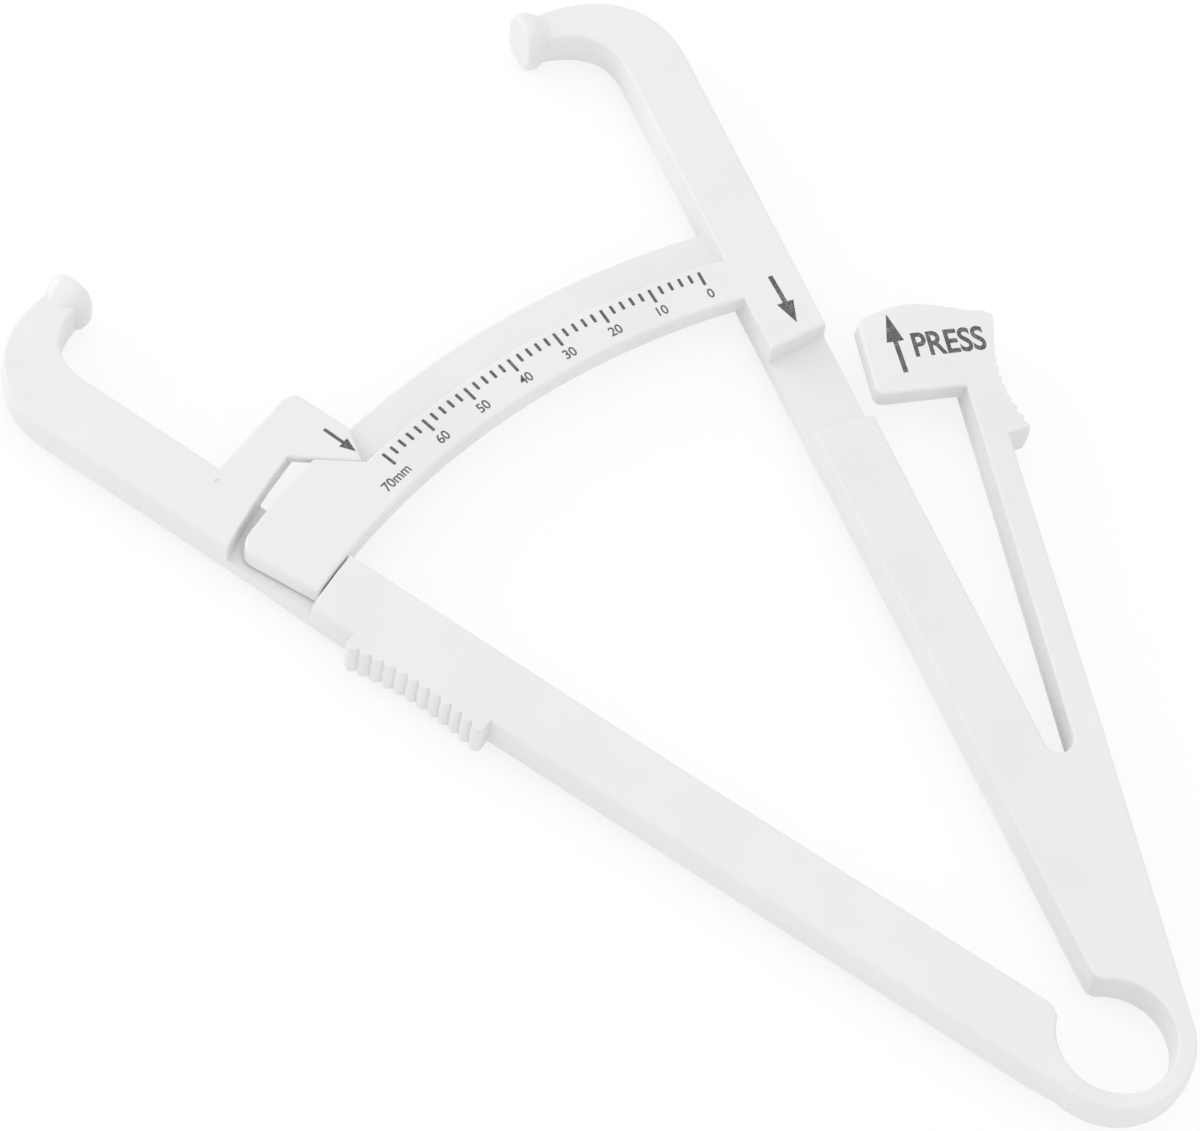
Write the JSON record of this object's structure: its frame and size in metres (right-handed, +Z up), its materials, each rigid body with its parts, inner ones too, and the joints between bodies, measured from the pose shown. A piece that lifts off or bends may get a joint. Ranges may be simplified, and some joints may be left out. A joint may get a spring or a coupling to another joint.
{
  "type": "skinfold caliper",
  "caption": "One-hand skinfold caliper in white plastic: two hooked arms on a C-shaped living hinge, a curved millimetre scale with a pointer, and a sprung press lever.",
  "frame": {"origin": "middle of the outline seen from above, on the plane that the pads' rims rest on", "axes": "+Y from the hinge ring to the jaws, +Z up from the face without marks to the face with the scale"},
  "size_m": [0.1098, 0.1672, 0.0079],
  "materials": {
    "white_plastic": "satin"
  },
  "bodies": {
    "scale_arm": {"hinge_ring": "white_plastic", "scale_arm_heel": "white_plastic", "scale_arm_beam": "white_plastic", "scale_arm_seat": "white_plastic", "scale_arm_upper": "white_plastic", "scale_jaw_hook": "white_plastic", "scale_jaw_pad": "white_plastic", "scale_arc_band": "white_plastic", "scale_arc_ledge": "white_plastic", "scale_stop_tab": "white_plastic"},
    "index_arm": {"index_arm_beam": "white_plastic", "finger_grip": "white_plastic", "index_arm_bridge": "white_plastic", "index_arm_upper": "white_plastic", "index_jaw_hook": "white_plastic", "index_jaw_pad": "white_plastic", "index_bracket": "white_plastic", "index_pointer": "white_plastic"},
    "press_lever": {"lever_beam": "white_plastic", "lever_neck": "white_plastic", "thumb_grip": "white_plastic", "lever_catch": "white_plastic", "press_head": "white_plastic"}
  },
  "joints": [
    {"name": "arm_hinge", "type": "hinge", "parent": "scale_arm", "child": "index_arm", "pos_m": [-0.00018, -0.07539, 0.00395], "axis": [0, 0, 1], "range_deg": [-25.9, 0], "stiffness_Nm_per_rad": 0.15},
    {"name": "lever_flex", "type": "hinge", "parent": "scale_arm", "child": "press_lever", "pos_m": [0.02072, -0.04239, 0.00395], "axis": [0, 0, 1], "range_deg": [0, 10], "stiffness_Nm_per_rad": 0.4}
  ]
}
